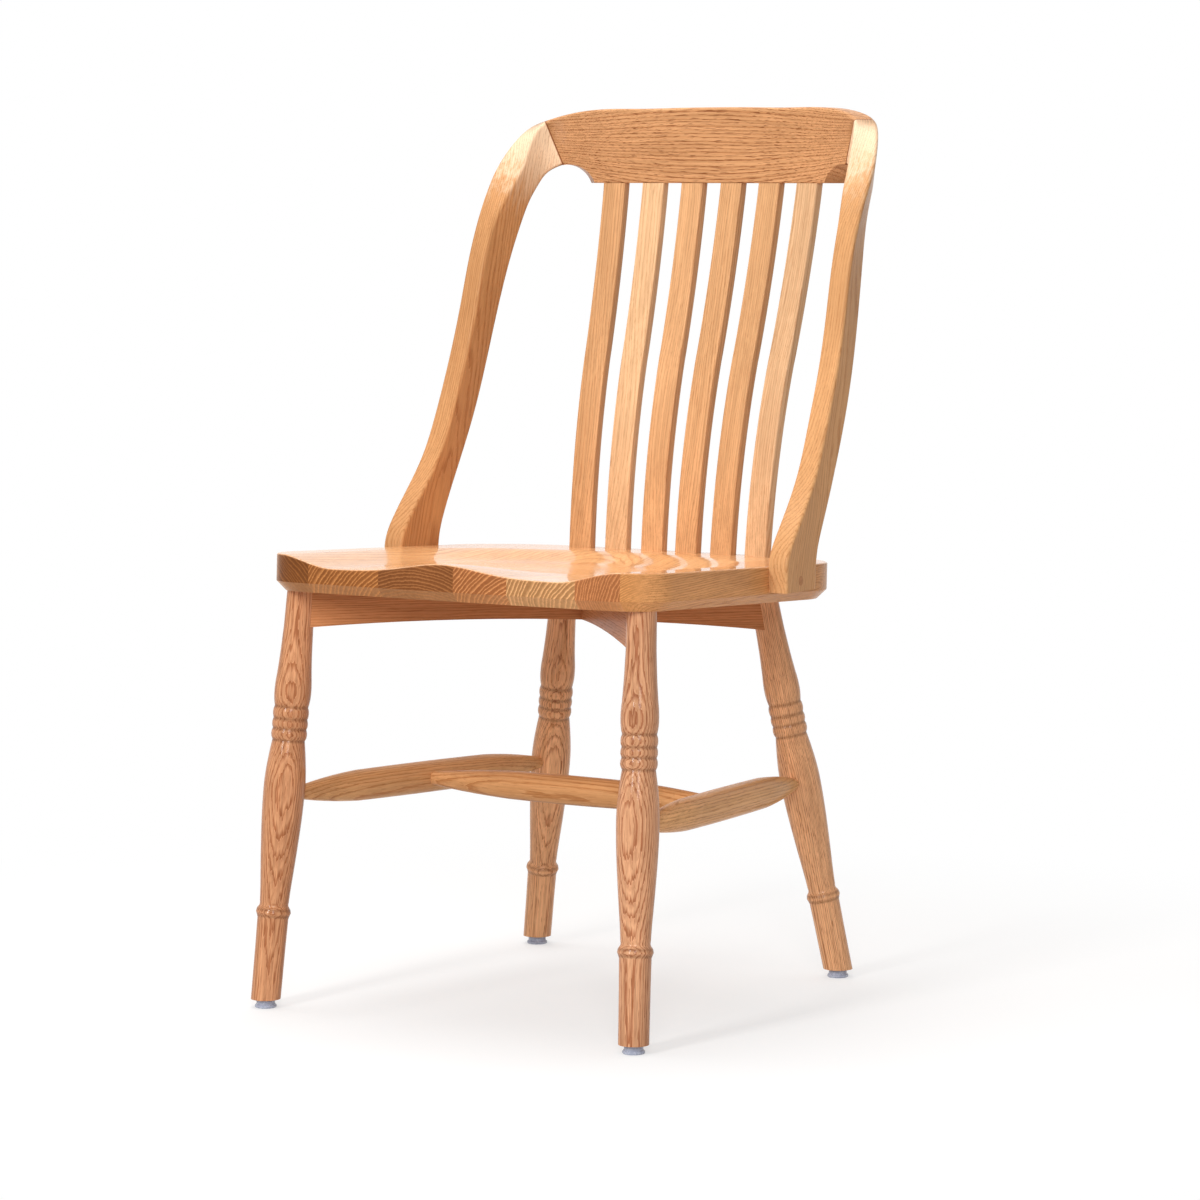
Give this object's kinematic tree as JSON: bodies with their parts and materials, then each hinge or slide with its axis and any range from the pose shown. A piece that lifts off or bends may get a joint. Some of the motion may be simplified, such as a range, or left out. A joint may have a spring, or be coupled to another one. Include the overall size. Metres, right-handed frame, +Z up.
{
  "type": "wooden dining chair",
  "caption": "Dining chair in oak with a saddled seat on turned legs and stretchers, and a slatted back whose posts sweep into the crest rail.",
  "frame": {"origin": "on the floor, in the middle of the chair's bounding box", "axes": "+X to the right as seen from the front, +Z up, the front of the seat towards -Y"},
  "size_m": [0.4862, 0.5497, 0.9105],
  "materials": {
    "seat_oak": "satin-gloss lacquered oak, plain-sawn staves",
    "slat_oak": "satin-gloss lacquered oak, straight grain along the slat",
    "rail_oak": "lacquered oak",
    "leg_oak": "satin-gloss lacquered turned oak",
    "post_oak": "satin-gloss lacquered oak",
    "crest_oak": "satin-gloss lacquered oak with dark pores",
    "dowel_wood": "plain beech",
    "screw_steel": "zinc plated",
    "glide_plastic": "blue-grey nylon"
  },
  "bodies": {
    "root": {"slat_inner_right": "slat_oak", "slat_inner_left": "slat_oak", "slat_middle_right": "slat_oak", "slat_middle_left": "slat_oak", "slat_outer_right": "slat_oak", "slat_outer_left": "slat_oak", "cross_rail_front_left": "rail_oak", "cross_rail_front_right": "rail_oak", "leg_front_right": "leg_oak", "leg_front_left": "leg_oak", "leg_rear_right": "leg_oak", "leg_rear_left": "leg_oak", "side_stretcher_right": "leg_oak", "side_stretcher_left": "leg_oak", "middle_stretcher": "leg_oak", "back_post_right": "post_oak", "back_post_left": "post_oak", "crest_rail": "crest_oak", "crest_dowels": "dowel_wood", "post_plug_right": "post_oak", "post_plug_left": "post_oak", "seat_stave_1": "seat_oak", "seat_stave_2": "seat_oak", "seat_stave_3": "seat_oak", "seat_stave_4": "seat_oak", "seat_stave_5": "seat_oak", "seat_stave_6": "seat_oak", "seat_stave_7": "seat_oak", "glide_nails": "screw_steel", "rail_screws": "screw_steel", "post_screws": "screw_steel", "glide_front_right": "glide_plastic", "glide_front_left": "glide_plastic", "glide_rear_right": "glide_plastic", "glide_rear_left": "glide_plastic"}
  },
  "joints": []
}
